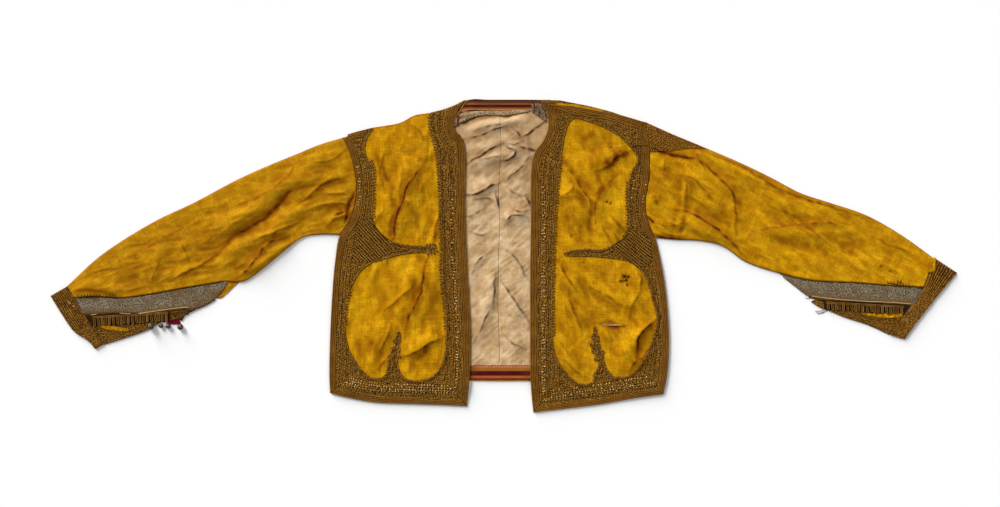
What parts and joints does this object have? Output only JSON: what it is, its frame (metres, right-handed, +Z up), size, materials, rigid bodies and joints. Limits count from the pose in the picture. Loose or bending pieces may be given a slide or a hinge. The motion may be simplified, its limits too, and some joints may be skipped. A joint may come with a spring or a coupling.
{
  "type": "embroidered short jacket",
  "caption": "Short open-fronted cotton jacket with long sleeves, wide couched braid borders, cuff slits with button loops and a pale lining, laid flat.",
  "frame": {"origin": "on the flat underside of the back panel, in the middle of the jacket's length and width", "axes": "+X from the wearer's right cuff to the left cuff, +Y from the hem to the neck, +Z up out of the face of the laid-out jacket"},
  "size_m": [1.45, 0.5006, 0.0147],
  "materials": {
    "saffron_cotton": "plain-woven saffron cotton, worn and stained",
    "cream_lining": "pale plain-woven cotton lining",
    "brown_braid": "olive brown couched cord and braid",
    "loop_cord": "brown twisted cord",
    "striped_tape": "woven tape in maroon, red and gold stripes",
    "silver_facing": "grey silk with worn metal thread",
    "button_metal": "dark tarnished metal",
    "red_cloth": "red cotton scrap"
  },
  "bodies": {
    "root": {"back": "saffron_cotton", "right_lining": "cream_lining", "left_lining": "cream_lining", "neck_tape": "striped_tape", "hem_tape": "striped_tape", "right_front": "saffron_cotton", "left_front": "saffron_cotton", "right_front_edge_braid": "brown_braid", "right_hem_braid": "brown_braid", "right_side_braid": "brown_braid", "right_armhole_braid": "brown_braid", "left_front_edge_braid": "brown_braid", "left_hem_braid": "brown_braid", "left_side_braid": "brown_braid", "left_armhole_braid": "brown_braid", "left_shoulder_braid": "brown_braid", "right_sleeve": "saffron_cotton", "left_sleeve": "saffron_cotton", "left_sleeve_cap_braid": "brown_braid", "right_cuff": "brown_braid", "left_cuff": "brown_braid", "right_slit_facing": "silver_facing", "left_slit_facing": "silver_facing", "right_slit_braid": "brown_braid", "left_slit_braid": "brown_braid", "right_loop_row": "loop_cord", "left_loop_row": "loop_cord", "button_1": "button_metal", "button_2": "button_metal", "button_3": "button_metal", "button_4": "button_metal", "red_tab": "red_cloth"}
  },
  "joints": []
}
